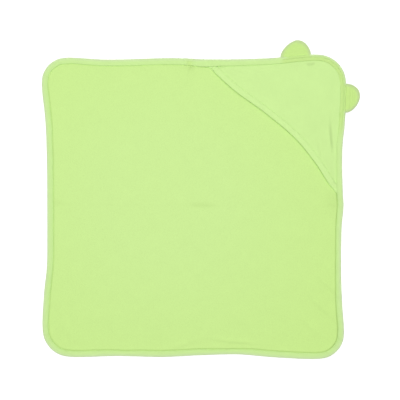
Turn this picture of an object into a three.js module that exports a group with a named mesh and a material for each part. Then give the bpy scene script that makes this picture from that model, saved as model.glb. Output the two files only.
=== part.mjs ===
// A baby's hooded bath towel, spread flat with its hood corner at +X +Y.
//
// A square of knit terry has a triangle of the same cloth laid over one corner as a hood. One tape is
// folded round the whole edge and sewn through, which also holds the hood's two legs, and the hood's
// free edge is bound with the same tape. Two small round ears are caught in the seam at the hood.
//
// Millimetres, +Z up. The origin is the middle of the square, on its underside.

import * as THREE from 'three';

// Cloth, tape and thread.
const TERRY = 2.8;
const HOOD_CLOTH = 2.6;
const SQUEEZED = 1.2; // cloth inside a folded tape
const EAR_CLOTH = 1.6;
const TAPE = 1.0;
const TAPE_WIDTH = 14.5;
const THREAD_WIDTH = 0.9;
const THREAD_HEIGHT = 0.4;
const STITCH_LINE = 12.2; // from the tape's folded edge to the middle of the seam

// Free space.
const GAP = 0.3; // between pieces that touch
const HOOD_GAP = 1.0; // between the hood's legs and the tape they are sewn to
const GROOVE_DEPTH = 0.7; // how far a seam sinks into its tape

// Corners of the square, anticlockwise from the one opposite the hood: where each rounding starts
// to turn, its centre and its radius.
const CORNERS = [
  { start: Math.PI, x: -304, y: -301, radius: 69 },
  { start: -Math.PI / 2, x: 308, y: -313, radius: 62 },
  { start: 0, x: 305, y: 305, radius: 70 },
  { start: Math.PI / 2, x: -315, y: 307.5, radius: 60 },
];
const CORNER_STEPS = 4;

// Points that each edge passes on its way to the next corner. The seam draws the cloth in between
// the corners, by about a centimetre.
const EDGES = [
  [[-190, -368], [-77, -370.3], [20, -366], [110, -364], [200, -371.3]],
  [[366, -245], [363.3, -180], [364.3, -55], [369, 5], [367, 34], [366.2, 145], [372, 205]],
  [[183, 366], [38, 363.1], [-50, 366.6], [-215, 362.8]],
  [[-366.5, 215], [-363, 140], [-361.5, -60], [-362.5, -146], [-369.5, -215]],
];
const EDGE_STEPS = 3; // samples from one outline point to the next

// The hood's free edge, from the top seam to the side seam: its two ends, and the points between
// them where it bows in towards the corner.
const HOOD_TOP_END = [38, 348];
const HOOD_SIDE_END = [352, 34];
const HOOD_BOW = [[100, 287], [174, 232], [248, 169.5], [297.5, 110], [336, 51]];
const HOOD_EDGE_STEPS = 16;
const HOOD_LEG_SUM = 420; // x + y from which the legs' own points take over from the free edge

// The ears: middle of the seam they grow from, the turn of that seam, their size, and how far the
// tip leans along the seam.
const EARS = [
  { side: 'top', x: 251, y: 372.4, turn: 5.2, width: 75, reach: 38, lean: 6.5 },
  { side: 'side', x: 375.6, y: 267.7, turn: -91.5, width: 71, reach: 34.5, lean: -6 },
];
const EAR_STEPS = 16;
const EAR_ROLL = 0.5; // rounding of the ear's rim
const EAR_RIM = 0.95; // scale of an ear's flat face within its rim
const EAR_MIDDLE = 0.42; // height of an ear's middle, as a share of its reach
const EAR_SEAM = { outer: 0.94, inner: 0.84, thread: 0.025 }; // scales about the ear's middle

const COLOURS = {
  terry: 0xceef98,
  hood: 0xd0f29d,
  tape: 0xd2f3a1,
  ear: 0xcaed8e,
  thread: 0xc6e68f,
};

// Heights.
const binding = { bottom: 0, top: 2 * (TAPE + GAP) + SQUEEZED };
const hoodBinding = { bottom: TERRY + GAP, top: TERRY + GAP + 2 * (TAPE + GAP) + SQUEEZED };

function outlineCurve() {
  const points = [];
  CORNERS.forEach((corner, index) => {
    for (let step = 0; step <= CORNER_STEPS; step++) {
      const angle = corner.start + (step / CORNER_STEPS) * (Math.PI / 2);
      const x = corner.x + corner.radius * Math.cos(angle);
      const y = corner.y + corner.radius * Math.sin(angle);
      points.push(new THREE.Vector3(x, y, 0));
    }
    EDGES[index].forEach(([x, y]) => points.push(new THREE.Vector3(x, y, 0)));
  });
  return new THREE.CatmullRomCurve3(points, true, 'centripetal');
}

// Each sample of the towel's edge with its unit vector inwards.
function sampleOutline() {
  const curve = outlineCurve();
  const count = curve.points.length * EDGE_STEPS;
  return Array.from({ length: count }, (_, index) => {
    const point = curve.getPoint(index / count);
    const along = curve.getTangent(index / count);
    return { point, inward: new THREE.Vector3(-along.y, along.x, 0) };
  });
}

const outline = sampleOutline();

function insetOutline(inset) {
  return outline.map(({ point, inward }) => point.clone().addScaledVector(inward, inset));
}

function nearest(points, [x, y]) {
  const target = new THREE.Vector3(x, y, 0);
  return points.reduce((best, point) =>
    point.distanceTo(target) < best.distanceTo(target) ? point : best);
}

// The hood's free edge at a distance in from its fold. Its two ends slide along the legs.
function sampleHoodEdge() {
  const legs = insetOutline(TAPE_WIDTH + HOOD_GAP);
  const bow = HOOD_BOW.map(([x, y]) => new THREE.Vector3(x, y, 0));
  const start = nearest(legs, HOOD_TOP_END);
  const end = nearest(legs, HOOD_SIDE_END);
  const curve = new THREE.CatmullRomCurve3([start, ...bow, end], false, 'centripetal');
  const samples = Array.from({ length: HOOD_EDGE_STEPS + 1 }, (_, index) => {
    const along = curve.getTangentAt(index / HOOD_EDGE_STEPS);
    const inward = new THREE.Vector3(-along.y, along.x, 0);
    return { point: curve.getPointAt(index / HOOD_EDGE_STEPS), inward };
  });
  const first = samples[0].inward;
  const last = samples[HOOD_EDGE_STEPS].inward;
  first.set(1, 0, 0).divideScalar(first.x);
  last.set(0, 1, 0).divideScalar(last.y);
  return samples;
}

const hoodEdge = sampleHoodEdge();

function insetHoodEdge(inset) {
  return hoodEdge.map(({ point, inward }) => point.clone().addScaledVector(inward, inset));
}

// The hood's outline, anticlockwise, with its free edge at a distance in from the fold.
function hoodLoop(inset) {
  const legs = insetOutline(TAPE_WIDTH + HOOD_GAP);
  const beyond = legs.filter((point) => point.x + point.y > HOOD_LEG_SUM);
  return [...insetHoodEdge(inset), ...beyond];
}

function at(points, z) {
  return points.map((point) => new THREE.Vector3(point.x, point.y, z));
}

// Faces between rows of points. The rows run anticlockwise, and go up on the outside.
function gridFaces(rowCount, rowLength, wrapRows, wrapPath) {
  const faces = [];
  const lastRow = wrapRows ? rowCount : rowCount - 1;
  const lastStep = wrapPath ? rowLength : rowLength - 1;
  for (let row = 0; row < lastRow; row++) {
    const here = row * rowLength;
    const next = ((row + 1) % rowCount) * rowLength;
    for (let step = 0; step < lastStep; step++) {
      const after = (step + 1) % rowLength;
      faces.push([here + step, here + after, next + after]);
      faces.push([here + step, next + after, next + step]);
    }
  }
  return faces;
}

function geometryOf(rows, faces) {
  const geometry = new THREE.BufferGeometry();
  geometry.setFromPoints(rows.flat());
  geometry.setIndex(faces.flat());
  geometry.computeVertexNormals();
  return geometry;
}

// A slab between a lowest and a highest closed loop, each filled in.
function slab(rows) {
  const rowLength = rows[0].length;
  const lastRow = rows.length - 1;
  const highest = lastRow * rowLength;
  const flat = (row) => row.map(({ x, y }) => new THREE.Vector2(x, y));
  const fill = (row) => THREE.ShapeUtils.triangulateShape(flat(row), []);
  const faces = gridFaces(rows.length, rowLength, false, true);
  fill(rows[0]).forEach(([a, b, c]) => faces.push([a, c, b]));
  fill(rows[lastRow]).forEach(([a, b, c]) => faces.push([highest + a, highest + b, highest + c]));
  return geometryOf(rows, faces);
}

// A closed band: rows that go round the towel or an ear and back to the first row.
function band(rows) {
  return geometryOf(rows, gridFaces(rows.length, rows[0].length, true, true));
}

// A strip along the hood's edge: as a band, but with two ends. The section is a list of inset and z.
function strip(section) {
  const rows = section.map(([inset, z]) => at(insetHoodEdge(inset), z));
  const length = rows[0].length;
  const faces = gridFaces(rows.length, length, true, false);
  const end = section.map(([inset, z]) => new THREE.Vector2(-inset, z));
  THREE.ShapeUtils.triangulateShape(end, []).forEach((corners) => {
    const [a, b, c] = corners.map((corner) => corner * length);
    faces.push([a, b, c]);
    faces.push([a + length - 1, c + length - 1, b + length - 1]);
  });
  return geometryOf(rows, faces);
}

// The folded tape's section, as inset and z, with a groove above and below where the seam pulls in.
function tapeSection({ bottom, top }) {
  const grooveOuter = STITCH_LINE - THREAD_WIDTH / 2 - GAP;
  const grooveInner = STITCH_LINE + THREAD_WIDTH / 2 + GAP;
  const fold = TAPE + GAP;
  const roll = fold / 2;
  return [
    [TAPE_WIDTH, bottom],
    [grooveInner, bottom],
    [grooveInner, bottom + GROOVE_DEPTH],
    [grooveOuter, bottom + GROOVE_DEPTH],
    [grooveOuter, bottom],
    [roll, bottom],
    [0, bottom + fold],
    [0, top - fold],
    [roll, top],
    [grooveOuter, top],
    [grooveOuter, top - GROOVE_DEPTH],
    [grooveInner, top - GROOVE_DEPTH],
    [grooveInner, top],
    [TAPE_WIDTH, top],
    [TAPE_WIDTH, top - TAPE],
    [TAPE, top - TAPE],
    [TAPE, bottom + TAPE],
    [TAPE_WIDTH, bottom + TAPE],
  ];
}

function threadSection(bottom) {
  const outer = STITCH_LINE - THREAD_WIDTH / 2;
  const inner = STITCH_LINE + THREAD_WIDTH / 2;
  const top = bottom + THREAD_HEIGHT;
  return [[inner, bottom], [outer, bottom], [outer, top], [inner, top]];
}

function ringOf(section) {
  return band(section.map(([inset, z]) => at(insetOutline(inset), z)));
}

function piece(name, colour, roughness, geometry) {
  const material = new THREE.MeshStandardMaterial({ color: COLOURS[colour], roughness, metalness: 0 });
  const mesh = new THREE.Mesh(geometry, material);
  mesh.name = name;
  return mesh;
}

// The square of terry: full thickness within the tape, and squeezed to a thin edge inside it.
function towelPanel() {
  const body = insetOutline(TAPE_WIDTH + GAP);
  const edge = insetOutline(TAPE + GAP);
  const low = binding.bottom + TAPE + GAP;
  const high = low + SQUEEZED;
  const lower = [at(body, 0), at(body, low), at(edge, low)];
  const upper = [at(edge, high), at(body, high), at(body, TERRY)];
  return piece('towel_panel', 'terry', 0.95, slab([...lower, ...upper]));
}

// The hood's triangle: the same, but only its free edge is squeezed into a tape.
function hoodPanel() {
  const body = hoodLoop(TAPE_WIDTH + GAP);
  const edge = hoodLoop(TAPE + GAP);
  const { bottom } = hoodBinding;
  const low = bottom + TAPE + GAP;
  const high = low + SQUEEZED;
  const top = bottom + HOOD_CLOTH;
  const lower = [at(body, bottom), at(body, low), at(edge, low)];
  const upper = [at(edge, high), at(body, high), at(body, top)];
  return piece('hood_panel', 'hood', 0.9, slab([...lower, ...upper]));
}

// An ear's outline, anticlockwise in its own plane: two quarter ellipses that meet at the tip, with
// the seam along x and the tip towards y, scaled about the middle of the ear.
function earLoop({ width, reach, lean }, scale, z) {
  const middle = new THREE.Vector3(lean / 2, reach * EAR_MIDDLE, z);
  return Array.from({ length: EAR_STEPS + 1 }, (_, step) => {
    const angle = (step / EAR_STEPS) * Math.PI;
    const half = width / 2 - lean * Math.sign(Math.cos(angle));
    const x = lean + half * Math.cos(angle);
    const y = reach * Math.sin(angle);
    return new THREE.Vector3(x, y, z).sub(middle).multiplyScalar(scale).add(middle);
  });
}

// An ear: two layers of cloth sewn together round the rim, with the seam between them.
function ear(size) {
  const frontBottom = EAR_CLOTH + GAP;
  const frontTop = frontBottom + EAR_CLOTH;
  const seamFloor = EAR_CLOTH - GROOVE_DEPTH;
  const threadBottom = seamFloor + GAP;
  const threadTop = threadBottom + THREAD_HEIGHT;
  const { outer, inner, thread } = EAR_SEAM;
  const loop = (scale, z) => earLoop(size, scale, z);
  const back = slab([
    loop(EAR_RIM, 0),
    loop(1, EAR_ROLL),
    loop(1, EAR_CLOTH),
    loop(outer, EAR_CLOTH),
    loop(outer, seamFloor),
    loop(inner, seamFloor),
    loop(inner, EAR_CLOTH),
  ]);
  const front = slab([
    loop(1, frontBottom),
    loop(1, frontTop - EAR_ROLL),
    loop(EAR_RIM, frontTop),
  ]);
  const seam = band([
    loop(inner + thread, threadBottom),
    loop(outer - thread, threadBottom),
    loop(outer - thread, threadTop),
    loop(inner + thread, threadTop),
  ]);
  const group = new THREE.Group();
  group.add(piece(`ear_${size.side}_back`, 'ear', 0.9, back));
  group.add(piece(`ear_${size.side}_front`, 'ear', 0.9, front));
  group.add(piece(`ear_${size.side}_thread`, 'thread', 0.6, seam));
  group.position.set(size.x, size.y, 0);
  group.rotation.z = THREE.MathUtils.degToRad(size.turn);
  return group;
}

const towel = new THREE.Group();
const threadOnTop = (tape) => threadSection(tape.top - THREAD_HEIGHT);
const threadBelow = (tape) => threadSection(tape.bottom);

towel.add(towelPanel());
towel.add(piece('edge_binding', 'tape', 0.85, ringOf(tapeSection(binding))));
towel.add(piece('binding_thread_top', 'thread', 0.6, ringOf(threadOnTop(binding))));
towel.add(piece('binding_thread_back', 'thread', 0.6, ringOf(threadBelow(binding))));
towel.add(hoodPanel());
towel.add(piece('hood_binding', 'tape', 0.85, strip(tapeSection(hoodBinding))));
towel.add(piece('hood_thread_top', 'thread', 0.6, strip(threadOnTop(hoodBinding))));
towel.add(piece('hood_thread_back', 'thread', 0.6, strip(threadBelow(hoodBinding))));
EARS.forEach((size) => towel.add(ear(size)));

export default towel;
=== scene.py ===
# A hooded baby towel, spread flat and seen from straight above. Every piece of cloth is made at its
# real thickness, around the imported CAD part: the square of terry, the tape folded round its edge, the
# hood's triangle with its own tape, two ears of two layers each, and every stitch. Metres, +Z up.

import math

import bpy
import numpy as np
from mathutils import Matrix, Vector
from mathutils.kdtree import KDTree


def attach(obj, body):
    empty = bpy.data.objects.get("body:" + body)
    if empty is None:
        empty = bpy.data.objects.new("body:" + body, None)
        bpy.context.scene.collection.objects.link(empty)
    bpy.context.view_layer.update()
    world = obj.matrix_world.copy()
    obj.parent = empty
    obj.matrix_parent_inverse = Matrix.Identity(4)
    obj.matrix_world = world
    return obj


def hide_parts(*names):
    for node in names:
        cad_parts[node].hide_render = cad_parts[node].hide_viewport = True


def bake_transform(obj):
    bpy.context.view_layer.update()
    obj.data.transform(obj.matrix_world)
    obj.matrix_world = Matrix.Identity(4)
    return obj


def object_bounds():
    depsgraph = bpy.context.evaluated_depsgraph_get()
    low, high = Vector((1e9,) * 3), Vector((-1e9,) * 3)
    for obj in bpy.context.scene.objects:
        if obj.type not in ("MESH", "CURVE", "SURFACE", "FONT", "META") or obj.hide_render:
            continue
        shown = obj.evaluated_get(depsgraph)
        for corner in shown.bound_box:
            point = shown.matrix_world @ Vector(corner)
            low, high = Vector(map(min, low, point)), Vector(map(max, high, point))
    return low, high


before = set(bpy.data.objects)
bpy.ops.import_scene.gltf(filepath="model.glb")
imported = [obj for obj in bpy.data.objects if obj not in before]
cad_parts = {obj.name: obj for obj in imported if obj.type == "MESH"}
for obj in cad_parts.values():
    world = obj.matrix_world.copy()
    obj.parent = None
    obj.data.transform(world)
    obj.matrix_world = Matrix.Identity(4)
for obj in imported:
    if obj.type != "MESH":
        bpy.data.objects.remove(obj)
cad_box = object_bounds()

MM = 0.001

# --- Camera ---

LENS = 85.0
SENSOR_WIDTH = 36.0
VIEW_WIDTH = 986.2 * MM  # of the plane that the camera's height is counted from
VIEW_PLANE = 3.0 * MM
VIEW_OFFSET = (-2.52 * MM, -1.16 * MM)  # of the view's centre from the middle of the CAD box


def add_object(name, data):
    made = bpy.data.objects.new(name, data)
    bpy.context.scene.collection.objects.link(made)
    return made


def make_camera():
    """A camera that looks straight down."""
    data = bpy.data.cameras.new("camera")
    data.lens = LENS
    data.sensor_width = SENSOR_WIDTH
    camera = add_object("camera", data)
    low, high = cad_box
    x, y = ((low[axis] + high[axis]) / 2 + VIEW_OFFSET[axis] for axis in (0, 1))
    camera.location = (x, y, VIEW_PLANE + VIEW_WIDTH * LENS / SENSOR_WIDTH)
    bpy.context.scene.camera = camera


make_camera()


# --- Sizes ---

# Corners of the square, anticlockwise from the one opposite the hood: where the rounding starts to
# turn, its centre and its radius. The edge's points lie between one corner and the next.
CORNERS = [
    (math.pi, -304, -301, 69),
    (-math.pi / 2, 308, -313, 62),
    (0, 305, 305, 70),
    (math.pi / 2, -315, 307.5, 60),
]
CORNER_STEPS = 4
EDGES = [
    [(-190, -368), (-77, -370.3), (20, -366), (110, -364), (200, -371.3)],
    [(366, -245), (363.3, -180), (364.3, -55), (369, 5), (367, 34), (366.2, 145), (372, 205)],
    [(183, 366), (38, 363.1), (-50, 366.6), (-215, 362.8)],
    [(-366.5, 215), (-363, 140), (-361.5, -60), (-362.5, -146), (-369.5, -215)],
]

# The fold of the hood's free edge, from inside the top seam to inside the side seam.
HOOD_FOLD = [
    (20, 363), (35.5, 345.6), (99.4, 286.4), (174, 232), (248, 169.5), (297.5, 110), (336, 51),
    (351.5, 33.4), (366, 17),
]

# The ears: middle of the seam, its turn in degrees, width, reach, and lean of the tip along the seam.
# full is the fullness of its left and its right shoulder, 2 for an ellipse and 1 for a straight line.
# ridge is the height of its soft ribs, and hold is how much more painted shade the edge tape's middle
# crease gets along the ear's seam, where the painted shade on the tape's fold gives way.
EARS = {
    "top": dict(x=251, y=372.4, turn=5.2, width=75, reach=38, lean=6.5, full=(1.6, 1.95),
                ridge=0.12, hold=0.4),
    "side": dict(x=375.6, y=267.7, turn=-91.5, width=71, reach=34, lean=-6, full=(2.1, 1.75),
                 ridge=0.3, hold=0.8),
}

TERRY = 3.0 * MM  # thickness of the towel's cloth
HOOD_CLOTH = 2.2 * MM
SQUEEZED = 1.2 * MM  # either cloth inside a folded tape
TAPE = 0.9 * MM
TAPE_WIDTH = 14.5 * MM
STITCH_LINE = 12.4 * MM  # from the tape's fold to its seam
SEAM_TO_EDGE = TAPE_WIDTH - STITCH_LINE
CREASE_LINE = 6.1 * MM  # from the fold to the crease along the middle of the tape, at the ears
CREASE_HALF = 1.1 * MM
FOLD_ROLL = 3.6 * MM  # how far in the tape is round
BELLY = 0.25 * MM  # how much the tape swells between its fold and its seam
STITCH_PITCH = 3.2 * MM
NEEDLE_PULL = 0.42 * MM  # how deep the tape is drawn in at a needle hole
THREAD_PULL = 0.24 * MM  # and between two holes
REST = 0.1 * MM  # least height of the cloth over the floor
CLEAR = 0.08 * MM  # free space between layers that lie on each other
DITCH_START = 15.0 * MM  # the seam's ditch, between the tape and the terry beside it
DITCH_END = 17.6 * MM
DITCH_SHADE = 15.8 * MM  # where the painted shade on the pile beside the tape is darkest
PUFF = 0.6 * MM  # how much the terry swells beside the ditch
PUFF_FADE = 9 * MM
UNDER_HOOD_END = 55 * MM  # where the terry under the hood has its full thickness
TAPE_STEP = 13.6 * MM  # where the cloth starts to come down off the tape's lower layer
EDGE_FREE = 30 * MM  # where the hood's cloth lies free of the seam


# --- Curves ---

def spline(points, closed, steps):
    """A centripetal Catmull-Rom curve through the points, as CAD draws its outlines."""
    points = np.asarray(points, float)
    if closed:
        ends = np.vstack([points[-1:], points, points[:2]])
    else:
        ends = np.vstack([2 * points[:1] - points[1:2], points, 2 * points[-1:] - points[-2:-1]])
    share = np.linspace(0, 1, steps, endpoint=False)[:, None]
    pieces = []
    for p0, p1, p2, p3 in zip(ends, ends[1:], ends[2:], ends[3:]):
        d0, d1, d2 = (math.sqrt(np.linalg.norm(b - a)) for a, b in ((p0, p1), (p1, p2), (p2, p3)))
        m1 = ((p1 - p0) / d0 - (p2 - p0) / (d0 + d1) + (p2 - p1) / d1) * d1
        m2 = ((p2 - p1) / d1 - (p3 - p1) / (d1 + d2) + (p3 - p2) / d2) * d1
        cubic = 2 * p1 - 2 * p2 + m1 + m2
        square = -3 * p1 + 3 * p2 - 2 * m1 - m2
        pieces.append(p1 + m1 * share + square * share**2 + cubic * share**3)
    if not closed:
        pieces.append(points[-1:])
    return np.vstack(pieces)


def even(points, count, closed=False):
    """The polyline drawn again in a count of even steps."""
    if closed:
        points = np.vstack([points, points[:1]])
    run = np.concatenate([[0], np.cumsum(np.linalg.norm(np.diff(points, axis=0), axis=1))])
    wanted = np.linspace(0, run[-1], count + 1)
    if closed:
        wanted = wanted[:-1]
    return np.stack([np.interp(wanted, run, points[:, axis]) for axis in (0, 1)], axis=1)


def smooth(value, low=0.0, high=1.0):
    """0 below low, 1 above high, and a soft rise between them."""
    t = np.clip((value - low) / (high - low), 0, 1)
    return t * t * (3 - 2 * t)


def stretch(value, start, rise, end, fall):
    """1 inside a stretch, rising softly from its start and falling softly to its end."""
    return smooth(value, start, start + rise) * smooth(-value, -end, -end + fall)


def hump(value, centre, width):
    """1 at the centre, falling away softly to both sides."""
    return np.exp(-(((value - centre) / width) ** 2))


class Line:
    """A line on the ground, closed or open, with the distance inside it and along it of any point."""

    def __init__(self, points, closed):
        self.points = points
        self.closed = closed
        before = np.roll(points, 1, axis=0)
        after = np.roll(points, -1, axis=0)
        if not closed:
            before[0] = 2 * points[0] - points[1]
            after[-1] = 2 * points[-1] - points[-2]
        along = after - before
        self.tangent = along / np.linalg.norm(along, axis=1)[:, None]
        self.inward = np.stack([-self.tangent[:, 1], self.tangent[:, 0]], axis=1)
        steps = np.linalg.norm(np.diff(points, axis=0), axis=1)
        self.run = np.concatenate([[0], np.cumsum(steps)])
        closing = np.linalg.norm(points[0] - points[-1]) if closed else 0.0
        self.length = self.run[-1] + closing
        self.tree = KDTree(len(points))
        for index, (x, y) in enumerate(points):
            self.tree.insert((x, y, 0), index)
        self.tree.balance()

    def place(self, xy):
        """Distance in from the line, and distance along it, of each point."""
        nearest = np.array([self.tree.find((x, y, 0))[1] for x, y in xy])
        offset = xy - self.points[nearest]
        inset = np.einsum("ij,ij->i", offset, self.inward[nearest])
        along = self.run[nearest] + np.einsum("ij,ij->i", offset, self.tangent[nearest])
        return inset, along

    def at(self, inset):
        """The line's points moved in by inset."""
        return self.points + self.inward * inset


def outline_points():
    """The towel's outline: each corner's arc and then the edge after it."""
    points = []
    for (start, x, y, radius), edge in zip(CORNERS, EDGES):
        for step in range(CORNER_STEPS + 1):
            angle = start + step / CORNER_STEPS * math.pi / 2
            points.append((x + radius * math.cos(angle), y + radius * math.sin(angle)))
        points.extend(edge)
    return np.array(points) * MM


FINE = 60  # points of a fine curve between two of its given points
HOOD_EDGE_STEPS = 600
outline = spline(outline_points(), True, FINE)
outline_length = np.linalg.norm(np.diff(outline, axis=0, append=outline[:1]), axis=1).sum()
stitch_count = round(outline_length / STITCH_PITCH)
edge = Line(even(outline, 2 * stitch_count, closed=True), True)

hood_curve = spline(np.array(HOOD_FOLD) * MM, False, FINE)
hood_edge = Line(even(hood_curve, HOOD_EDGE_STEPS), False)


def along_edge(x, y):
    """How far along the edge the point nearest to x and y, in millimetres, lies."""
    return edge.place(np.array([(x, y)]) * MM)[1][0]


# Places along the edge.
HOOD_TOP = along_edge(34, 363)
HOOD_SIDE = along_edge(367, 28)
EAR_PLACES = {name: along_edge(ear["x"], ear["y"]) for name, ear in EARS.items()}
MIDDLE_CREASE_TOP = along_edge(-10, 366)
MIDDLE_CREASE_LEFT = along_edge(-362, 4)
MIDDLE_CREASE_RIGHT = along_edge(368, 2)
TAPE_JOIN = along_edge(-77, -370)


# --- How the cloth lies ---

WAVE_COUNT = 7


def waves(x, y, length, seed):
    """Smooth random relief between about -1 and 1, with waves of about the given length."""
    draw = np.random.default_rng(seed)
    total = np.zeros_like(x)
    for _ in range(WAVE_COUNT):
        angle = draw.uniform(0, 2 * math.pi)
        size = length * draw.uniform(0.7, 1.5)
        phase = draw.uniform(0, 2 * math.pi)
        run = x * math.cos(angle) + y * math.sin(angle)
        total += np.sin(2 * math.pi * run / size + phase)
    return total / math.sqrt(WAVE_COUNT)


def along_waves(run, length, seed):
    """The same along a line."""
    return waves(run, 0 * run, length, seed)


FOLD_BEND = 0.5  # how far a fold swings to each side, in half widths
FOLD_TURNS = 5.0  # how fast it swings, in radians from start to end
FOLD_FADE = 0.1  # how far it goes on beyond its ends, as a share of its length


def fold(x, y, start, end, width, height):
    """A soft fold from start to end, in millimetres, that fades at both ends and bends a little."""
    start, end = np.array(start) * MM, np.array(end) * MM
    length = np.linalg.norm(end - start)
    direction = (end - start) / length
    along = ((x - start[0]) * direction[0] + (y - start[1]) * direction[1]) / length
    across = (x - start[0]) * direction[1] - (y - start[1]) * direction[0]
    bend = width * MM * FOLD_BEND * np.sin(along * FOLD_TURNS)
    fade = stretch(along, -FOLD_FADE, 0.45, 1 + FOLD_FADE, 0.45)
    return height * MM * fade * np.exp(-(((across - bend) / (width * MM)) ** 2))


# Folds and wrinkles of the towel: start, end, half width and height, all in millimetres.
TOWEL_FOLDS = [
    ((292, -150), (352, -218), 4.5, 2.5),
    ((282, -205), (345, -282), 5, 2.5),
    ((300, -120), (345, -170), 4, 1.2),
    ((262, -262), (318, -330), 5, 1.4),
    ((20, -318), (165, -341), 4.5, 1.5),
    ((-60, -345), (30, -322), 5, 1.0),
    ((-330, -230), (-300, -345), 8, 0.8),
    ((-352, 255), (-300, 330), 9, 0.8),
    ((170, -40), (330, -95), 14, 0.8),
    ((-240, 120), (-60, 160), 18, 0.6),
]
HOOD_FOLDS = [
    ((339, 226), (343, 124), 2.6, -2.9),
    ((332, 222), (336, 124), 4, 0.9),
    ((309, 165), (314, 110), 2.5, -0.5),
    ((60, 337), (215, 332), 5, 0.7),
    ((80, 322), (190, 316), 5, 0.6),
    ((272, 352), (306, 350), 2.6, -1.6),
    ((270, 345), (304, 342), 4, 0.8),
    ((300, 300), (350, 262), 9, 0.5),
]

# Where the edge tape is narrower, or wider if negative: middle along the edge, half length and
# amount, all in millimetres.
NARROW_STRETCHES = [
    (1005, 95, 2.2), (500, 42, 2.4), (239, 28, 2.0), (1830, 42, -2.2), (1860, 290, -1.6),
]

# The press folds of the packet: the level one's height and the upright one's place at its top.
CREASE_Y = 3.6 * MM
CREASE_X = -8 * MM
CREASE_TOP = 350 * MM
CREASE_SLANT = 0.25
CREASE_DEPTH = 0.45 * MM
# Where the level fold shows: middle and half length in x, in millimetres, and how plainly.
CREASE_SPOTS = [(-350, 26, 0.85), (20, 32, 1.0), (345, 20, 0.3)]
CREASE_FAINT = 0.05  # how plainly the folds show elsewhere


def press_marks(x, y):
    """0 to about 1: how deep the terry is pressed down where the towel was folded for its packet; the
    same marks set the painted shade along these folds.
    """
    level = CREASE_FAINT
    for spot, half, strength in CREASE_SPOTS:
        level = level + strength * hump(x, spot * MM, half * MM)
    at_left = hump(x, -350 * MM, 40 * MM)
    middle = CREASE_Y + 5 * MM * at_left - 1.2 * MM * np.sin(x / (40 * MM))
    marks = level * hump(y, middle, 5.6 * MM + 1.6 * MM * at_left)
    upright = CREASE_FAINT + (1 - CREASE_FAINT) * smooth(y, 315 * MM, 345 * MM)
    slanted = CREASE_X + CREASE_SLANT * (y - CREASE_TOP)
    return marks + upright * hump(x, slanted, 2.6 * MM)


# Painted shade along the hood's sharp creases: start, end, half width and darkness.
HOOD_CREASES = [
    ((338, 214), (340.5, 134), 3.0, 0.45),
    ((307, 160), (311, 118), 3.0, 0.12),
    ((276, 353), (300, 350), 3.6, 0.45),
]


def hood_crease_shade(xy):
    """0 to 1: how dark the painted shade along the hood's sharp creases is."""
    marks = np.zeros(len(xy))
    for start, end, width, darkness in HOOD_CREASES:
        marks += fold(xy[:, 0], xy[:, 1], start, end, width, darkness) / MM
    return np.minimum(marks, 1)


def near_top(y):
    """1 along the upper edge, 0 below it."""
    return smooth(y, 250 * MM, 340 * MM)


def pile_painted_shade(xy, inset):
    """Painted shade on the pile, 0 to 1: along its press folds and in the groove beside the tape,
    deepest along the right edge below the hood and shallow along the upper edge."""
    x, y = xy[:, 0], xy[:, 1]
    below_hood = smooth(x, 300 * MM, 345 * MM) * smooth(-y, -22 * MM, 12 * MM)
    below_hood *= 0.36 + 0.3 * smooth(-y, 230 * MM, 300 * MM)
    groove = (0.32 * (1 - near_top(y)) + below_hood) * hump(inset, DITCH_SHADE, 1.5 * MM)
    # painted shade beside the hood's lower end on the right, and where the upper press fold kinks the
    # tape
    beside = 0.2 * hump(x, 345 * MM, 20 * MM) * hump(y, 12 * MM, 26 * MM)
    beside += 0.3 * hump(x, -6 * MM, 8 * MM) * hump(y, 345 * MM, 8 * MM)
    return np.minimum(0.22 * press_marks(x, y) + groove + beside, 1)


def narrowed(along):
    """How much narrower than usual the edge tape is there."""
    return sum(
        less * MM * hump(along, middle * MM, half * MM)
        for middle, half, less in NARROW_STRETCHES
    )


EAR_LIFT = 1.6 * MM
# Short rises of the tape: place along the edge, then half length and height in millimetres.
TAPE_RISES = [
    (TAPE_JOIN, 8, 1.1),
    (MIDDLE_CREASE_TOP + 8 * MM, 5, 2.2),
    (MIDDLE_CREASE_TOP - 7 * MM, 5, 1.8),
    (MIDDLE_CREASE_LEFT, 8, 0.6),
    (MIDDLE_CREASE_RIGHT, 7, 0.7),
]


def tape_lift(inset, along):
    """The edge rides up over the ears' seams, its own join, and where the press folds kink it."""
    lift = np.zeros_like(inset)
    for name, place in EAR_PLACES.items():
        half = EARS[name]["width"] / 2 * MM
        lift += EAR_LIFT * smooth(half + 20 * MM - np.abs(along - place), 0, 30 * MM)
    for place, half, height in TAPE_RISES:
        lift += height * MM * hump(along, place, half * MM)
    return lift * (1 - smooth(inset, 12 * MM, 38 * MM))


def ground(xy, inset, along):
    """Height of the towel's underside."""
    x, y = xy[:, 0], xy[:, 1]
    inner = smooth(inset, 14 * MM, 60 * MM)
    height = 0.45 * MM * (1 + waves(x, y, 0.24, 11)) * (0.35 + 0.65 * inner)
    height += 0.16 * MM * (1 + waves(x, y, 0.07, 12)) * inner
    for start, end, width, rise in TOWEL_FOLDS:
        height += fold(x, y, start, end, width, rise)
    near_seam = np.exp(-np.maximum(inset - TAPE_WIDTH, 0) / (13 * MM))
    height += 0.22 * MM * near_seam * (1 + waves(along, inset * 0.3, 0.022, 13))
    return REST + np.maximum(height, 0) + tape_lift(inset, along)


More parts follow.
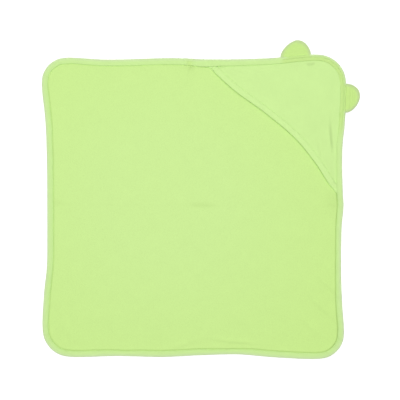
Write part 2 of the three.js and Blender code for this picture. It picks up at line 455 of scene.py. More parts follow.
def terry_layer(xy):
    """Lower and upper face of the terry: thin inside the tape, full beyond the seam."""
    inset, along = edge.place(xy)
    base = ground(xy, inset, along)
    inset = inset + narrowed(along)
    low = base + (TAPE + CLEAR) * (1 - smooth(inset, TAPE_STEP, 17.2 * MM))
    from_fold, _ = hood_edge.place(xy)
    hooded = smooth(from_fold, -2 * MM, 6 * MM)
    body = smooth(inset, DITCH_START, DITCH_END) * (1 - hooded)
    body += smooth(inset, TAPE_WIDTH, UNDER_HOOD_END) * hooded
    puff = PUFF * np.exp(-np.maximum(inset - DITCH_END, 0) / PUFF_FADE) * (1 - hooded)
    x, y = xy[:, 0], xy[:, 1]
    crease = -CREASE_DEPTH * press_marks(x, y)
    high = low + SQUEEZED + (TERRY - SQUEEZED + puff + crease) * body
    high += 0.08 * MM * body * waves(x, y, 0.013, 21) + 0.10 * MM * body * waves(x, y, 0.03, 22)
    return low, high, inset, along


def hood_in_tape(along):
    """How much of the pile inside the edge tape is hood cloth, and how much is the hood's own tape."""
    cloth = stretch(along, HOOD_SIDE - 6 * MM, 14 * MM, HOOD_TOP + 6 * MM, 14 * MM)
    side = stretch(along, HOOD_SIDE - 30 * MM, 25 * MM, HOOD_SIDE + 55 * MM, 30 * MM)
    top = stretch(along, HOOD_TOP - 50 * MM, 27 * MM, HOOD_TOP + 30 * MM, 25 * MM)
    return cloth, side + top


def beside_tape(inset):
    """1 just inside a tape's inner edge, where the hood's cloth swells, falling away to 0."""
    return smooth(inset, 14.5 * MM, 15.2 * MM) * (1 - smooth(inset, 15.5 * MM, 29 * MM))


HOOD_AIR = 0.3 * MM  # free space under the hood
LIP_LIFT = 1.6 * MM  # how much more it stands off the towel at its free edge
LIP_FADE = 26 * MM
SWELL_AT_LIP = 0.55 * MM  # of the hood's cloth beside its own tape
SWELL_AT_EDGE = 1.1 * MM  # beside the edge tape
SWELL_AT_TOP = 0.5 * MM  # and as much more along the upper edge


def hood_layer(xy):
    """Lower and upper face of the hood's cloth on the towel, and each point's distance from the
    towel's edge and from the hood's free edge."""
    _, terry_top, inset, along = terry_layer(xy)
    x, y = xy[:, 0], xy[:, 1]
    from_fold, _ = hood_edge.place(xy)
    body = smooth(inset, TAPE_WIDTH - 0.8 * MM, EDGE_FREE)
    lip = body * hump(from_fold, 0, LIP_FADE)
    lift = CLEAR + HOOD_AIR * body + LIP_LIFT * lip
    lift = lift + (TAPE + CLEAR) * (1 - smooth(from_fold, TAPE_STEP, 18 * MM))
    relief = 0.25 * MM * (1 + waves(x, y, 0.09, 31)) + 0.08 * MM * waves(x, y, 0.03, 32)
    for start, end, width, rise in HOOD_FOLDS:
        relief = relief + fold(x, y, start, end, width, rise)
    near_seam = np.exp(-np.maximum(inset - TAPE_WIDTH, 0) / (15 * MM))
    relief += 0.2 * MM * near_seam * (1 + waves(along, inset * 0.2, 0.02, 33))
    low = terry_top + np.maximum(lift + relief * body, CLEAR)
    thick = SQUEEZED + (HOOD_CLOTH - SQUEEZED) * body * smooth(from_fold, 13.5 * MM, 19 * MM)
    from_tape = inset + 0.3 * MM + narrowed(along)
    thick += SWELL_AT_LIP * beside_tape(from_fold) * body
    thick += (SWELL_AT_EDGE + SWELL_AT_TOP * near_top(y)) * beside_tape(from_tape)
    return low, low + thick, inset, from_fold


# --- Meshes ---

def make_piece(name, points, faces, cloth, materials, face_material=None, sharp=None):
    """A mesh object from arrays. cloth holds each point's place on its own cloth, in metres."""
    mesh = bpy.data.meshes.new(name)
    mesh.from_pydata(points.tolist(), [], faces.tolist() if hasattr(faces, "tolist") else faces)
    mesh.attributes.new("cloth", "FLOAT_VECTOR", "POINT")
    mesh.attributes["cloth"].data.foreach_set("vector", cloth.astype(np.float32).ravel())
    for material in materials:
        mesh.materials.append(material)
    if face_material is not None:
        mesh.polygons.foreach_set("material_index", np.asarray(face_material, np.int32))
    mesh.polygons.foreach_set("use_smooth", np.ones(len(mesh.polygons), bool))
    if sharp is not None:
        flags = np.array([sharp[a] and sharp[b] for a, b in (e.vertices for e in mesh.edges)])
        mesh.edges.foreach_set("use_edge_sharp", flags)
    mesh.update()
    return add_object(name, mesh)


def grid_faces(rows, columns, start=0, flip=False, wrap_rows=False, wrap_columns=False):
    """Quads over a grid of points, numbered row by row."""
    row = np.arange(rows if wrap_rows else rows - 1)
    column = np.arange(columns if wrap_columns else columns - 1)
    r, c = np.meshgrid(row, column, indexing="ij")
    r2, c2 = (r + 1) % rows, (c + 1) % columns
    corners = [r * columns + c, r * columns + c2, r2 * columns + c2, r2 * columns + c]
    if flip:
        corners.reverse()
    return np.stack([corner.ravel() for corner in corners], axis=1) + start


def border(rows, columns):
    """The numbers of a grid's outer points, round it from its first row."""
    first = np.arange(columns)
    right = np.arange(1, rows) * columns + columns - 1
    last = (rows - 1) * columns + np.arange(columns - 2, -1, -1)
    left = np.arange(rows - 2, 0, -1) * columns
    return np.concatenate([first, right, last, left])


def two_faced(name, xy, back, front, shape, cloth, materials):
    """A sheet with two faces over one grid, closed round its edge. front holds the heights of the
    face that looks up if the rows run to the left of the columns' direction, and down if they run
    to the right. The first material is the front's, and the second is the rest's."""
    rows, columns = shape
    count = rows * columns
    points = np.vstack([np.column_stack([xy, front]), np.column_stack([xy, back])])
    rim = border(rows, columns)
    after = np.roll(rim, -1)
    walls = np.stack([rim, rim + count, after + count, after], axis=1)
    front_faces = grid_faces(rows, columns)
    back_faces = grid_faces(rows, columns, start=count, flip=True)
    faces = np.vstack([front_faces, back_faces, walls])
    slots = np.zeros(len(faces))
    slots[len(front_faces):] = 1
    on_rim = np.zeros(2 * count, bool)
    on_rim[rim] = on_rim[rim + count] = True
    return make_piece(name, points, faces, np.vstack([cloth, cloth]), materials, slots, on_rim)


PANEL_INSET = 3.2 * MM  # the terry ends this far inside the edge, in the fold of its tape
# From the middle of the towel to its rim: where each stretch of the grid ends, and its cells.
GRID_STRETCHES = [(0.05, 12), (0.92, 72), (1.0, 27)]


def grid_steps():
    """Steps from rim to rim through the middle, -1 to 1, finer at the press folds and the rim."""
    half = [0.0]
    for end, cells in GRID_STRETCHES:
        half.extend(np.linspace(half[-1], end, cells + 1)[1:])
    half = np.array(half)
    return np.concatenate([-half[:0:-1], half])


def towel_grid(side):
    """A square grid drawn out along rays from the middle to just inside the towel's outline."""
    v, u = np.meshgrid(side, side, indexing="ij")
    u, v = u.ravel(), v.ravel()
    rim = edge.at(PANEL_INSET)
    rim_angle = np.arctan2(rim[:, 1], rim[:, 0])
    order = np.argsort(rim_angle)
    reach = np.linalg.norm(rim, axis=1)[order]
    angle = np.arctan2(v, u)
    radius = np.interp(angle, rim_angle[order], reach, period=2 * math.pi)
    square = np.maximum(np.abs(u), np.abs(v))
    return np.column_stack([np.cos(angle), np.sin(angle)]) * (radius * square)[:, None]


def make_towel_panel():
    """The square of terry, loops up."""
    side = grid_steps()
    xy = towel_grid(side)
    low, high, inset, _ = terry_layer(xy)
    cloth = np.column_stack([xy, pile_painted_shade(xy, inset)])
    shape = (len(side), len(side))
    return two_faced("terry_square", xy, low, high, shape, cloth, [terry, jersey])


def seam_dip(inset, width, dimple):
    """How far the seam pulls the tape in, at a distance from its fold."""
    return dimple * hump(inset, width - SEAM_TO_EDGE, 1.15 * MM)


FOLD_STEPS = 12  # round the tape's fold
LAYER_STEPS = 19  # across its upper layer
EDGE_ROUND = 0.35 * MM  # how much the upper layer's inner edge is rounded off


def tape_section(pile, dimple, wave, groove, width):
    """The folded tape in section, as insets and heights, from the inner edge of its lower layer
    round the fold to that of its upper layer, and back inside. pile is the height of the cloth
    inside, dimple the stitch's pull, wave a soft relief and groove the middle crease's depth."""
    top = 2 * (TAPE + CLEAR) + pile
    middle = top / 2
    outside, inside = [], []
    for share in (0.0, 0.35, 0.72, 0.9, 1.0):
        inset = width + (FOLD_ROLL - width) * share
        outside.append((inset, 0.8 * seam_dip(inset, width, dimple)))
    for step in range(1, FOLD_STEPS):
        angle = -math.pi / 2 - step / FOLD_STEPS * math.pi
        height = middle + middle * math.sin(angle)
        inset = FOLD_ROLL + FOLD_ROLL * math.cos(angle)
        crease = groove * hump(inset, CREASE_LINE, CREASE_HALF) * max(math.sin(angle), 0)
        outside.append((inset, height - crease))
    for share in np.linspace(0, 1, LAYER_STEPS):
        inset = FOLD_ROLL + (width - FOLD_ROLL) * share
        belly = BELLY * math.sin(math.pi / 2 * min(share * 1.6, 1.0))
        round_off = (EDGE_ROUND + belly) * smooth(share, 0.9, 1.0)
        crease = groove * hump(inset, CREASE_LINE, CREASE_HALF)
        height = top + belly + wave * math.sin(math.pi * share) - round_off - crease
        outside.append((inset, height - seam_dip(inset, width, dimple)))
    for share in (0.97, 0.78, 0.5, 0.2, 0.0):
        inset = FOLD_ROLL + (width - FOLD_ROLL) * share
        crease = groove * hump(inset, CREASE_LINE, CREASE_HALF)
        inside.append((inset, top - TAPE - 0.6 * seam_dip(inset, width, dimple) - crease))
    for angle in (2.1, 2.65, math.pi, 3.63, 4.18):
        height = middle + (middle - TAPE) * math.sin(angle)
        inside.append((FOLD_ROLL + (FOLD_ROLL - TAPE) * math.cos(angle), height))
    for share in (0.0, 0.5, 0.97):
        inside.append((FOLD_ROLL + (width - FOLD_ROLL) * share, TAPE))
    return outside + inside


def swept_tape(name, line, shape, material, rows_at=None):
    """Sweeps the tape's section along a line. rows_at gives the sample numbers that a row at some
    inset runs through; without it each row runs through them all."""
    base, *profile, drawn = shape
    numbers = np.arange(len(line.run))
    rows, cloth = [], []
    width = profile[-1]
    across = TAPE_WIDTH - width  # so that the fold has the same place across a wide or narrow tape
    previous = None
    for inset, height in tape_section(*profile):
        inset = np.broadcast_to(inset, numbers.shape)
        height = np.broadcast_to(height, numbers.shape)
        if previous is not None:
            across = across + np.hypot(inset - previous[0], height - previous[1])
        previous = (inset, height)
        place = line.points + line.inward * inset[:, None]
        values = np.column_stack([place, base + height, line.run, across, drawn])
        if rows_at is not None:
            wanted = rows_at(inset.mean())
            values = np.stack([np.interp(wanted, numbers, column) for column in values.T], axis=1)
        rows.append(values[:, :3])
        cloth.append(values[:, 3:])
    count = len(rows[0])
    faces = grid_faces(len(rows), count, wrap_rows=True, wrap_columns=line.closed).tolist()
    sharp = np.zeros(len(rows) * count, bool)
    if not line.closed:
        start_cap = [row * count for row in range(len(rows))]
        end_cap = [row * count + count - 1 for row in range(len(rows))]
        faces.append(start_cap)
        faces.append(end_cap[::-1])
        sharp[start_cap] = sharp[end_cap] = True
    return make_piece(name, np.vstack(rows), faces, np.vstack(cloth), [material], None, sharp)


def stitch_dimples(line):
    """Deep at the needle holes, which are every second sample, and shallow between."""
    index = np.arange(len(line.run))
    return np.where(index % 2 == 0, NEEDLE_PULL, THREAD_PULL)


def round_hood_corner(run):
    """1 along the edge from beside the one ear to beside the other, 0 elsewhere."""
    side, top = EAR_PLACES["side"], EAR_PLACES["top"]
    return stretch(run, side - 110 * MM, 70 * MM, top + 45 * MM, 30 * MM)


def edge_tape_shape():
    """The edge tape's base height along its length, what tape_section draws from, and how much darker
    the tape is painted: a darker tint round the hood's corner, painted shade where the upper press fold
    kinks it, and more painted shade of its middle crease along the ears."""
    run = edge.run
    middle = 9 * MM
    base = ground(edge.at(middle), np.full(len(run), middle), run)
    cloth, ends = hood_in_tape(run)
    pile = SQUEEZED + cloth * (SQUEEZED + CLEAR) + ends * 1.7 * MM
    pile += 0.10 * MM * (1 + along_waves(run, 0.03, 41))
    wave = 0.14 * MM * along_waves(run, 0.016, 42) + 0.07 * MM * along_waves(run, 0.007, 43)
    corner = round_hood_corner(run)
    groove = (1.0 + 0.8 * hump(run, EAR_PLACES["side"], 45 * MM)) * MM * corner
    width = TAPE_WIDTH - narrowed(run) + 0.3 * MM * along_waves(run, 0.05, 44)
    # drawn sets a darker tint round the hood's corner, and painted shade at the upper press fold's kink
    # and along the middle crease by the ears
    drawn = np.maximum(corner, 0.8 * hump(run, MIDDLE_CREASE_TOP, 8 * MM))
    for name, place in EAR_PLACES.items():
        half = EARS[name]["width"] / 2 * MM
        drawn += EARS[name]["hold"] * smooth(half - np.abs(run - place), 1 * MM, 6 * MM)
    dimple = stitch_dimples(edge) * (1 - 0.85 * np.maximum(corner, near_top(edge.points[:, 1])))
    return base, pile, dimple, wave, groove, width, drawn


def hood_tape_shape():
    """The same for the hood's tape, which lies on the towel."""
    run = hood_edge.run
    low, _, inset, _ = hood_layer(hood_edge.at(8 * MM))
    free = smooth(inset, 14 * MM, EDGE_FREE)
    base = low - TAPE - CLEAR
    pile = SQUEEZED * (0.75 + 0.25 * free) + 0.08 * MM * (1 + along_waves(run, 0.03, 51))
    wave = 0.12 * MM * along_waves(run, 0.02, 52) * free
    dimple = stitch_dimples(hood_edge) * (0.1 + 0.2 * free)
    return base, pile, dimple, wave, 0 * run, TAPE_WIDTH + 0 * run, 0 * run


# One stitch: rings along it, each with its share of the length, its rise and its thickness.
STITCH_RINGS = [
    (0.02, -0.9, 0.35), (0.14, -0.2, 0.8), (0.5, 0.25, 1.0), (0.86, -0.2, 0.8), (0.98, -0.9, 0.35),
]
STITCH_SIDES = 6
STITCH_RADIUS = 0.27 * MM
STITCH_RISE = 0.28 * MM


def make_stitches(name, starts, ends, side):
    """Stitches from each start to its end, above the cloth (side 1) or under it (-1)."""
    direction = ends - starts
    length = np.linalg.norm(direction, axis=1)[:, None]
    direction = direction / length
    lateral = np.column_stack([-direction[:, 1], direction[:, 0], np.zeros(len(starts))])
    lateral /= np.linalg.norm(lateral, axis=1)[:, None]
    up = np.cross(direction, lateral) * side
    points, cloth = [], []
    for share, rise, thick in STITCH_RINGS:
        centre = starts + direction * length * share + up * (rise * STITCH_RISE)
        for step in range(STITCH_SIDES):
            angle = step / STITCH_SIDES * 2 * math.pi
            spread = lateral * math.cos(angle) + up * math.sin(angle) * side
            points.append(centre + spread * STITCH_RADIUS * thick)
            run = length[:, 0] * share
            cloth.append(np.column_stack([run, np.full(len(starts), angle), 0 * run]))
    per_stitch = len(points)
    points = np.stack(points, axis=1).reshape(-1, 3)
    cloth = np.stack(cloth, axis=1).reshape(-1, 3)
    template = grid_faces(len(STITCH_RINGS), STITCH_SIDES, wrap_columns=True, flip=side < 0).tolist()
    caps = [list(range(STITCH_SIDES))[::-1], list(range(per_stitch - STITCH_SIDES, per_stitch))]
    if side < 0:
        caps = [cap[::-1] for cap in caps]
    firsts = range(0, len(points), per_stitch)
    faces = [[corner + first for corner in face] for first in firsts for face in template + caps]
    return make_piece(name, points, faces, cloth, [thread])


def seam_points(line, shape, side):
    """Where the needle went in along a folded tape, on its upper or lower face."""
    base, pile, _, wave, _, width, _ = shape
    seam = width - SEAM_TO_EDGE
    top = 2 * (TAPE + CLEAR) + pile + BELLY - 0.3 * MM
    top = top + wave * np.sin(math.pi * (seam - FOLD_ROLL) / (width - FOLD_ROLL))
    height = base + (top if side > 0 else 0.42 * MM)
    return np.column_stack([line.points + line.inward * seam[:, None], height])


def seam_stitches(name, line, shape, side, samples=slice(None)):
    """The stitches of a tape's seam, on its upper (side 1) or lower (-1) face."""
    holes = seam_points(line, shape, side)
    if line.closed:
        holes = np.vstack([holes, holes[:1]])
    holes = holes[samples][::2]
    return make_stitches(name, holes[:-1], holes[1:], side)


# --- Materials ---

def set_inputs(node, values):
    """Sets a node's inputs, given by their names."""
    for name, value in values.items():
        node.inputs[name].default_value = value


class Shader:
    """Builds one procedural material from the cloth's own coordinates."""

    def __init__(self, name, roughness, sheen):
        self.material = bpy.data.materials.new(name)
        self.material.use_nodes = True
        self.tree = self.material.node_tree
        self.surface = self.tree.nodes["Principled BSDF"]
        set_inputs(self.surface, {
            "Roughness": roughness, "Specular IOR Level": 0.15,
            "Sheen Weight": sheen, "Sheen Roughness": 0.45,
        })
        place = self.tree.nodes.new("ShaderNodeAttribute")
        place.attribute_name = "cloth"
        self.place = place.outputs["Vector"]

    def node(self, kind, settings=None, **inputs):
        """A new node. Its inputs are given by name, or by an underscore and their number."""
        made = self.tree.nodes.new("ShaderNode" + kind)
        for key, value in (settings or {}).items():
            setattr(made, key, value)
        for key, value in inputs.items():
            socket = made.inputs[int(key[1:])] if key[0] == "_" else made.inputs[key]
            if isinstance(value, bpy.types.NodeSocket):
                self.tree.links.new(value, socket)
            else:
                socket.default_value = value
        return made

    def noise(self, scale, detail=2.0):
        made = self.node("TexNoise", Vector=self.place, Scale=scale, Detail=detail)
        return made.outputs["Fac"]

    def loops(self, scale):
        settings = {"feature": "SMOOTH_F1"}
        made = self.node("TexVoronoi", settings, Vector=self.place, Scale=scale)
        return made.outputs["Distance"]

    def maths(self, operation, first, second=0.0, third=0.0):
        settings = {"operation": operation}
        return self.node("Math", settings, _0=first, _1=second, _2=third).outputs[0]

    def times(self, value, factor, more=0.0):
        """The value times the factor, plus more."""
        return self.maths("MULTIPLY_ADD", value, factor, more)

    def ripples(self, value, pitch, shift=0.0):
        """A wave between -1 and 1 along a coordinate, with the given distance from top to top."""
        return self.maths("SINE", self.times(value, 2 * math.pi / pitch, shift))

    def away(self, value, place):
        """How far the value is from a place."""
        return self.maths("ABSOLUTE", self.maths("SUBTRACT", value, place))

    def span(self, value, low, high, to_low, to_high):
        """The value, drawn from the range low to high onto the range to_low to to_high."""
        inputs = {"_0": value, "_1": low, "_2": high, "_3": to_low, "_4": to_high}
        return self.node("MapRange", None, **inputs).outputs[0]

    def axes(self):
        return self.node("SeparateXYZ", Vector=self.place).outputs

    def mix(self, first, second, share):
        """A colour between two, each given as its three channels or as a socket."""
        colours = [c if isinstance(c, bpy.types.NodeSocket) else (*c, 1) for c in (first, second)]
        made = self.node("Mix", {"data_type": "RGBA"}, _0=share, _6=colours[0], _7=colours[1])
        return made.outputs[2]

    def tint(self, colour, factor):
        """A colour that comes from a socket, made lighter or darker."""
        made = self.node("VectorMath", {"operation": "SCALE"}, _0=colour, Scale=factor)
        return made.outputs["Vector"]

    def paint(self, dark, light, share):
        """Colours the surface between a dark and a light colour."""
        colour = self.mix(dark, light, share)
        self.tree.links.new(colour, self.surface.inputs["Base Color"])

    def bump(self, height, distance, strength):
        made = self.node("Bump", Height=height, Distance=distance, Strength=strength)
        self.tree.links.new(made.outputs["Normal"], self.surface.inputs["Normal"])


def shade(colour, factor):
    return tuple(channel * factor for channel in colour)


GREEN = (0.597, 0.837, 0.305)
RIM_GREEN = (0.585, 0.837, 0.268)
HOOD_GREEN = (0.632, 0.893, 0.337)
TAPE_GREEN = (0.63, 0.89, 0.34)
# painted shade of the ears' rounded rims
EAR_RIM_SHADE_GREEN = (0.55, 0.71, 0.325)
HOOD_TAPE_GREEN = (0.65, 0.915, 0.35)
# darker tint of the tape; times 0.72 it is the painted shade of the tape's middle crease
DARK_TAPE_GREEN = (0.60, 0.85, 0.285)
# painted shade of the edge tape's rolled fold, paler and duller
FOLD_SHADE_GREEN = (0.65, 0.83, 0.435)
EAR_GREEN = (0.597, 0.852, 0.268)
THREAD_GREEN = (0.585, 0.83, 0.29)


PALE_SPOT = (-0.07, 0.03, 0)  # where the towel is palest
LOOPS_PER_METRE = 640.0
WALE = 1.3 * MM  # width of a column of the jersey
COURSE = 1.0 * MM  # and height of a row
RIB_PITCH = 1.1 * MM  # of the tape
KNIT_PITCH = 0.9 * MM
TWIST_PITCH = 0.6 * MM  # of the thread


def make_terry():
    """Cotton loops in soft patches, with painted shade between the loops. The cloth's third coordinate
    is the painted shade on the pile.
    """
    made = Shader("terry_loops", roughness=0.95, sheen=0.12)
    pile_shade = made.axes()[2]
    flat = made.node("VectorMath", {"operation": "MULTIPLY"}, _0=made.place, _1=(1, 1, 0))
    made.place = flat.outputs["Vector"]
    loops = made.loops(LOOPS_PER_METRE)
    fuzz = made.noise(1500.0, detail=3.0)
    patches = made.noise(26.0, detail=3.0)
    height = made.times(loops, -1.0, made.times(fuzz, 0.35))
    made.bump(height, 1.0 * MM, 0.42)
    # painted shade in the gaps between the loops and lighter loop tops, mixed with random patches of
    # tone
    share = made.span(loops, 0.0, 0.7, 1.0, 0.0)
    share = made.times(share, 0.7, made.times(patches, 0.3))
    settings = {"operation": "DISTANCE"}
    reach = made.node("VectorMath", settings, _0=made.place, _1=PALE_SPOT).outputs["Value"]
    outer = made.span(reach, 0.15, 0.56, 0.0, 1.0)
    colour = made.mix(GREEN, RIM_GREEN, outer)
    # painted shade: the pile's colour darkened by its third coordinate
    colour = made.mix(colour, shade(RIM_GREEN, 0.75), pile_shade)
    made.paint(made.tint(colour, 0.94), made.tint(colour, 1.045), share)
    return made.material


def make_jersey(name, colour, shade_colour):
    """Columns of small V shapes. The cloth's third coordinate is how much of the painted shade colour
    shows.
    """
    made = Shader(name, roughness=0.9, sheen=0.1)
    x, y, cloth_shade = made.axes()
    across = made.maths("PINGPONG", made.maths("DIVIDE", x, WALE), 0.5)
    lean = made.times(across, 2 * math.pi)
    rows = made.ripples(y, COURSE, lean)
    fibres = made.noise(2200.0)
    height = made.times(rows, 0.22, made.times(across, 1.5))
    height = made.times(fibres, 0.3, height)
    made.bump(height, 0.45 * MM, 0.6)
    cloud = made.noise(18.0, detail=3.0)
    share = made.times(height, 0.42, made.times(cloud, 0.5))
    # painted shade: the hood's sharp creases, and the ears' rounded rims
    colour = made.mix(colour, shade_colour, cloth_shade)
    made.paint(made.tint(colour, 0.92), made.tint(colour, 1.05), share)
    return made.material


FOLD_ACROSS = 15.6 * MM  # from the tape's inner edge, across its lower layer, to its fold
CREASE_ACROSS = 23.1 * MM  # and on to the crease along the middle of its upper layer


def make_tape(name, colour, fold_shade):
    """A fine rib across the tape, with painted shade, paler and duller, where it turns the fold. The
    cloth's third coordinate is how much darker the tape is painted: 1 round the hood's corner, and more
    along the ears, where it deepens the painted shade of the middle crease."""
    made = Shader(name, roughness=0.88, sheen=0.12)
    x, y, drawn = made.axes()
    rib = made.ripples(x, RIB_PITCH)
    knit = made.ripples(y, KNIT_PITCH)
    fibres = made.noise(1800.0)
    height = made.times(knit, 0.2, rib)
    height = made.times(fibres, 0.8, height)
    made.bump(height, 0.22 * MM, 0.6)
    cloud = made.noise(40.0, detail=3.0)
    share = made.times(rib, 0.16, made.times(cloud, 0.5, 0.25))
    # a darker tint where the third coordinate is high, round the hood's corner
    colour = made.mix(colour, DARK_TAPE_GREEN, drawn)
    # painted shade along the tape's middle crease, scaled by the third coordinate
    from_crease = made.away(y, CREASE_ACROSS)
    groove = made.times(drawn, made.span(from_crease, 0.0, 2 * MM, 0.35, 0.0))
    colour = made.mix(colour, shade(DARK_TAPE_GREEN, 0.72), groove)
    # painted shade on the fold, paler and duller, fading out along the ears
    on_fold = made.span(made.away(y, FOLD_ACROSS), 1 * MM, 8.5 * MM, 0.95, 0.0)
    on_fold = made.times(on_fold, made.span(drawn, 1.0, 1.4, 1.0, 0.0))
    colour = made.mix(colour, fold_shade, on_fold)
    made.paint(made.tint(colour, 0.94), made.tint(colour, 1.05), share)
    return made.material


def make_thread():
    """Two plies twisted together."""
    made = Shader("sewing_thread", roughness=0.55, sheen=0.2)
    x, y, _ = made.axes()
    twist = made.ripples(x, TWIST_PITCH, made.times(y, 2.0))
    made.bump(twist, 0.12 * MM, 0.8)
    share = made.span(twist, -1.0, 1.0, 0.0, 1.0)
    made.paint(shade(THREAD_GREEN, 0.86), shade(THREAD_GREEN, 1.06), share)
    return made.material


terry = make_terry()
# the second colour is painted shade for the hood's sharp creases
jersey = make_jersey("jersey_back", HOOD_GREEN, shade(HOOD_GREEN, 0.7))
ear_jersey = make_jersey("ear_jersey", EAR_GREEN, EAR_RIM_SHADE_GREEN)
tape = make_tape("edge_rib_tape", TAPE_GREEN, FOLD_SHADE_GREEN)
hood_tape = make_tape("hood_rib_tape", HOOD_TAPE_GREEN, HOOD_TAPE_GREEN)
thread = make_thread()


# --- The towel ---

def settle(piece, node):
    """Puts a piece in its CAD node's place. Every piece rides on the towel, the root body."""
    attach(piece, "towel")
    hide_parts(node)


panel = make_towel_panel()
edge_shape = edge_tape_shape()
edge_tape = swept_tape("edge_tape", edge, edge_shape, tape)
edge_stitches_top = seam_stitches("edge_stitches_top", edge, edge_shape, 1)
edge_stitches_back = seam_stitches("edge_stitches_back", edge, edge_shape, -1)
settle(panel, "towel_panel")
settle(edge_tape, "edge_binding")
settle(edge_stitches_top, "binding_thread_top")
settle(edge_stitches_back, "binding_thread_back")


# --- The hood ---

HOOD_COLUMNS = 170
HOOD_ROWS = 96
HALF_STEPS = 300  # samples along one half of the hood's tape
HOOD_INSET = 6 * MM  # the legs end this far inside the edge, in its tape
FOLD_INSET = 2.4 * MM  # the cloth ends this far inside its own tape's fold
DIAGONAL_REACH = 124 * MM  # how far from the legs' seams each half's end lies
LEG = 350 * MM  # x of the side seam and y of the top seam, about


def crossing(values):
    """The sample number, with its fraction, where the values first change sign."""
    after = int(np.argmax(np.sign(values) != np.sign(values[0])))
    before = after - 1
    return before + values[before] / (values[before] - values[after])


def split_at_diagonal(points):
    """A line's points before and after it crosses the hood's diagonal, where x equals y."""
    cut = crossing(points[:, 0] - points[:, 1])
    before = int(cut)
    middle = points[before] + (points[before + 1] - points[before]) * (cut - before)
    return np.vstack([points[:before + 1], middle]), np.vstack([middle, points[before + 1:]])


def tape_rows(half):
    """The sample numbers that a row of one half of the hood's tape runs through: from inside the
    edge tape to the hood's diagonal, or on from there."""
    def rows_at(inset):
        points = hood_edge.at(inset)
        depth = edge.place(points)[0] - HOOD_INSET
        middle = crossing(points[:, 0] - points[:, 1])
        if half == "left":
            return np.linspace(crossing(depth), middle, HALF_STEPS)
        end = len(points) - 1 - crossing(depth[::-1])
        return np.linspace(middle, end, HALF_STEPS)
    return rows_at


def hood_legs():
    """The hood's legs inside the edge tape, from the top end round the corner to the side end."""
    line = edge.at(HOOD_INSET)
    part = line[(edge.run > HOOD_SIDE - 1 * MM) & (edge.run < HOOD_TOP + 1 * MM)]
    return part[::-1]


def make_hood_cloth(name, leg, fold_line):
    """Half of the hood's cloth, from a leg to its half of the free edge, loops down."""
    leg = even(leg, HOOD_COLUMNS)
    fold_line = even(fold_line, HOOD_COLUMNS)
    share = np.linspace(0, 1, HOOD_ROWS)[:, None, None]
    xy = (leg[None] * (1 - share) + fold_line[None] * share).reshape(-1, 2)
    low, high, _, _ = hood_layer(xy)
    cloth = np.column_stack([xy, hood_crease_shade(xy)])
    shape = (HOOD_ROWS, HOOD_COLUMNS + 1)
    return two_faced(name, xy, high, low, shape, cloth, [terry, jersey])


legs = split_at_diagonal(hood_legs())
folds = split_at_diagonal(hood_edge.at(FOLD_INSET))
diagonal = round(crossing(hood_edge.points[:, 0] - hood_edge.points[:, 1]) / 2) * 2
hood_shape = hood_tape_shape()
# For each half: a start and an end, from its leg's seam in toward the hood's diagonal, and the samples
# its stitches use.
HALVES = {
    "left": dict(start=(0, LEG, 0), end=(0, LEG - DIAGONAL_REACH, 0), samples=slice(14, diagonal + 1)),
    "right": dict(start=(LEG, 0, 0), end=(LEG - DIAGONAL_REACH, 0, 0), samples=slice(diagonal, -14)),
}
for (name, half), leg, fold_line in zip(HALVES.items(), legs, folds):
    cloth_piece = make_hood_cloth(f"hood_cloth_{name}", leg, fold_line)
    tape_piece = swept_tape(f"hood_tape_{name}", hood_edge, hood_shape, hood_tape, tape_rows(name))
    upper = seam_stitches(f"hood_stitches_top_{name}", hood_edge, hood_shape, 1, half["samples"])
    lower = seam_stitches(f"hood_stitches_back_{name}", hood_edge, hood_shape, -1, half["samples"])
    for piece, node, slot in (
        (cloth_piece, "hood_panel", "hood_cloth"),
        (tape_piece, "hood_binding", "tape"),
        (upper, "hood_thread_top", "thread"),
        (lower, "hood_thread_back", "thread"),
    ):
        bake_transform(piece)
        settle(piece, node)


# --- The ears ---

EAR_STEPS = 96
EAR_ROWS = 44
EAR_LAYER = 1.45 * MM
EAR_TUCK = 0.8 * MM  # how far the ear is sewn into the fold of the edge tape
EAR_MIDDLE = REST + EAR_LAYER + 0.45 * MM  # height of its middle plane
EAR_SEAM = 4.1 * MM  # and the same at its seam
EAR_ROUND = 4.5 * MM  # how far in the ear's rim is round
EAR_THIN = 0.55 * MM  # its half thickness in the seam
EAR_GAP = 0.02 * MM  # from the middle plane to each layer
RIB_SPACING = 6.5 * MM
EAR_STITCHES = 34
EAR_STITCH_INSET = 3.4  # in millimetres, from the rim in
EAR_STITCH_END = 0.06  # angle along the rim between its ends and the row of stitches


def shoulder(ear, side):
    """Half width and fullness of the ear's left (side -1) or right (side 1) shoulder."""
    half = (ear["width"] / 2 - side * ear["lean"]) * MM
    return half, np.where(side < 0, ear["full"][0], ear["full"][1])


def ear_rim(ear, angle):
    """A point of the ear's outline, seam along u and tip along v, for an angle from 0 to pi."""
    side = np.sign(np.cos(angle))
    half, full = shoulder(ear, side)
    u = ear["lean"] * MM + side * half * np.abs(np.cos(angle)) ** (2 / full)
    return u, ear["reach"] * MM * np.sin(angle) ** (2 / full)


def ear_grid(ear):
    """Points of an ear on lines from its seam out to the rim, and about how far in from the rim
    each lies."""
    rim_u, rim_v = ear_rim(ear, np.linspace(0, math.pi, EAR_STEPS + 1))
    share = np.sin(np.linspace(0, math.pi / 2, EAR_ROWS))[:, None]
    u = np.broadcast_to(rim_u, (EAR_ROWS, EAR_STEPS + 1)).ravel()
    v = (-EAR_TUCK + share * (rim_v + EAR_TUCK)[None]).ravel()
    side = np.where(u < ear["lean"] * MM, -1, 1)
    half, full = shoulder(ear, side)
    across = np.abs(u - ear["lean"] * MM) / half
    out = np.maximum(v, 0) / (ear["reach"] * MM)
    depth = 1 - np.minimum((across**full + out**full) ** (1 / full), 1)
    return np.column_stack([u, v]), depth * half


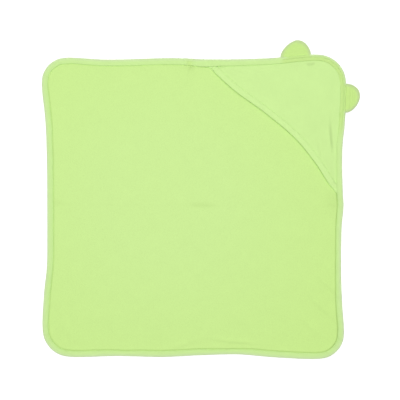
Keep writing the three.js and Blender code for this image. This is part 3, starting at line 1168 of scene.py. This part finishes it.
def ear_middle(uv):
    """Height of the ear's middle plane, which comes down from its seam."""
    return EAR_MIDDLE + (EAR_SEAM - EAR_MIDDLE) * (1 - smooth(uv[:, 1], 0, 15 * MM))


def ear_height(ear, uv, depth):
    """How far the ear's face stands off its middle plane at each point."""
    u, v = uv[:, 0], uv[:, 1]
    out = smooth(v, -1 * MM, 9 * MM)
    plump = np.sqrt(np.maximum(1 - (1 - np.minimum(depth / EAR_ROUND, 1)) ** 2, 0))
    rim = 0.2 * MM * hump(depth, 4.2 * MM, 1.2 * MM) - 0.25 * MM * hump(depth, 6.6 * MM, 1.2 * MM)
    ridges = ear["ridge"] * MM * np.sin(2 * math.pi * v / RIB_SPACING + 1.0)
    ridges *= smooth(v, 3 * MM, 9 * MM) * smooth(depth, 5 * MM, 10 * MM)
    seed = int(ear["width"])
    soft = 0.12 * MM * waves(u, v, 0.02, seed) + 0.08 * MM * waves(u, v, 0.007, seed + 1)
    half = EAR_THIN + (EAR_LAYER - EAR_THIN) * out + (rim + ridges + soft) * out
    return np.maximum(half * plump, EAR_GAP)


def ear_to_frame(ear, uv):
    """An ear's own points, seam along u and tip along v, in the frame's x and y."""
    turn = math.radians(ear["turn"])
    along = np.array([math.cos(turn), math.sin(turn)])
    out = np.array([-along[1], along[0]])
    return np.array([ear["x"], ear["y"]]) * MM + uv[:, :1] * along + uv[:, 1:] * out


def make_ear_layer(name, ear, side):
    """The upper (side 1) or lower (-1) cloth of an ear, from its middle plane outwards."""
    uv, depth = ear_grid(ear)
    middle = ear_middle(uv)
    inner = middle + side * EAR_GAP
    outer = middle + side * ear_height(ear, uv, depth)
    xy = ear_to_frame(ear, uv)
    low, high = (inner, outer) if side > 0 else (outer, inner)
    # painted shade along the ear's rounded rim, fading out within 10.5 mm
    cloth = np.column_stack([uv, 1 - smooth(depth, 1 * MM, 10.5 * MM)])
    shape = (EAR_ROWS, EAR_STEPS + 1)
    return two_faced(name, xy, high, low, shape, cloth, [ear_jersey, ear_jersey])


def make_ear_seam(name, ear):
    """The stitches that hold the two layers together, just inside the rim."""
    inside = 1 - EAR_STITCH_INSET / (ear["width"] / 2)
    angles = np.linspace(EAR_STITCH_END, math.pi - EAR_STITCH_END, EAR_STITCHES + 1)
    u, v = ear_rim(ear, angles)
    uv = np.column_stack([u, v]) * inside
    holes = np.column_stack([ear_to_frame(ear, uv), ear_middle(uv)])
    return make_stitches(name, holes[:-1], holes[1:], 1)


for name, ear in EARS.items():
    body = f"ear_{name}"
    layers = {
        f"{body}_front": make_ear_layer(f"{name}_ear_upper_cloth", ear, 1),
        f"{body}_back": make_ear_layer(f"{name}_ear_lower_cloth", ear, -1),
        f"{body}_thread": make_ear_seam(f"{name}_ear_stitches", ear),
    }
    for node, piece in layers.items():
        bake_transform(piece)
        settle(piece, node)


# --- Floor and light ---

WHITE = (1, 1, 1, 1)
FLOOR_HALF = 6.0
FLOOR_GLOW = 0.12  # just enough for the floor to render white
SKY_STRENGTH = 0.08
LIGHTS = {
    "softbox": dict(place=(-0.15, 0.28, 3.2), target=(-0.15, 0.28, 0), size=4.5, power=152.6),
    "key": dict(place=(0.6, 6.1, 4.8), target=(0, 0, 0), size=1.4, power=66.0),
}


def make_floor():
    mesh = bpy.data.meshes.new("floor")
    half = FLOOR_HALF
    corners = [(-half, -half, 0), (half, -half, 0), (half, half, 0), (-half, half, 0)]
    mesh.from_pydata(corners, [], [(0, 1, 2, 3)])
    material = bpy.data.materials.new("white_floor")
    material.use_nodes = True
    set_inputs(material.node_tree.nodes["Principled BSDF"], {
        "Base Color": WHITE, "Roughness": 1.0, "Specular IOR Level": 0.0,
        "Emission Color": WHITE, "Emission Strength": FLOOR_GLOW,
    })
    mesh.materials.append(material)
    add_object("floor", mesh)


def make_light(name, place, target, size, power):
    """A soft square light, turned to its target."""
    data = bpy.data.lights.new(name, "AREA")
    data.shape = "SQUARE"
    data.size = size
    data.energy = power
    light = add_object(name, data)
    light.location = place
    light.rotation_euler = (Vector(target) - Vector(place)).to_track_quat("-Z", "Y").to_euler()


def make_sky():
    world = bpy.data.worlds.new("soft_sky")
    world.use_nodes = True
    set_inputs(world.node_tree.nodes["Background"], {"Color": WHITE, "Strength": SKY_STRENGTH})
    bpy.context.scene.world = world


make_floor()
for name, light in LIGHTS.items():
    make_light(name, **light)
make_sky()
bpy.context.scene.view_settings.view_transform = "Standard"
